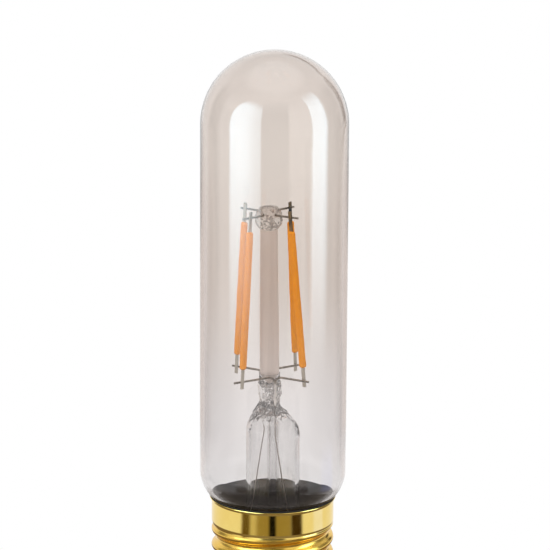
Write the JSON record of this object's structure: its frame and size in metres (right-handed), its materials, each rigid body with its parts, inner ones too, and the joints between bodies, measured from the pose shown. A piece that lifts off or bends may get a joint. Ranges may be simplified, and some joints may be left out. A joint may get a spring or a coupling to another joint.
{
  "type": "tubular light bulb",
  "caption": "Clear tubular filament lamp: a blown glass tube with a domed end, upright orange filaments on a glass stem, and a brass screw cap.",
  "frame": {"origin": "centre of the centre contact's outer face", "axes": "+Z along the cap's axis towards the dome, +X to the viewer's right, -Y towards the viewer"},
  "size_m": [0.0315, 0.0314, 0.1243],
  "materials": {
    "envelope_glass": "clear blown glass with a faint warm grey tint",
    "stem_glass": "clear drawn glass",
    "rod_glass": "smoky glass rod",
    "bead_glass": "clear melted glass with small bubbles",
    "cap_brass": "bright drawn brass sheet",
    "contact_brass": "tinned brass",
    "black_glass": "opaque black cap glass",
    "cement": "dark baked cement",
    "wire_steel": "plain drawn wire",
    "tab_steel": "flat stamped tab",
    "filament_coat": "soft orange phosphor silicone",
    "lead_copper": "copper-coloured wire",
    "cup_plastic": "dark moulded plastic",
    "board_laminate": "dark coated laminate",
    "chip_plastic": "black moulded package",
    "can_aluminium": "drawn can",
    "resistor_ceramic": "coated ceramic body"
  },
  "bodies": {
    "root": {"glass_envelope": "envelope_glass", "screw_shell": "cap_brass", "insulator": "black_glass", "centre_contact": "contact_brass", "capping_cement": "cement", "stem_flare": "stem_glass", "exhaust_tube": "stem_glass", "support_rod": "rod_glass", "rod_bead": "bead_glass", "right_upper_wire": "wire_steel", "left_upper_wire": "wire_steel", "back_lead_wire": "wire_steel", "front_lead_wire": "wire_steel", "back_outer_lead": "lead_copper", "front_outer_lead": "lead_copper", "insulating_cup": "cup_plastic", "driver_board": "board_laminate", "smoothing_capacitor": "can_aluminium", "rectifier": "chip_plastic", "driver_chip": "chip_plastic", "fuse_resistor": "resistor_ceramic", "live_wire": "lead_copper", "neutral_wire": "lead_copper", "filament_1_coat": "filament_coat", "filament_1_lower_tab": "tab_steel", "filament_1_upper_tab": "tab_steel", "filament_2_coat": "filament_coat", "filament_2_lower_tab": "tab_steel", "filament_2_upper_tab": "tab_steel", "filament_3_coat": "filament_coat", "filament_3_lower_tab": "tab_steel", "filament_3_upper_tab": "tab_steel", "filament_4_coat": "filament_coat", "filament_4_lower_tab": "tab_steel", "filament_4_upper_tab": "tab_steel"}
  },
  "joints": []
}
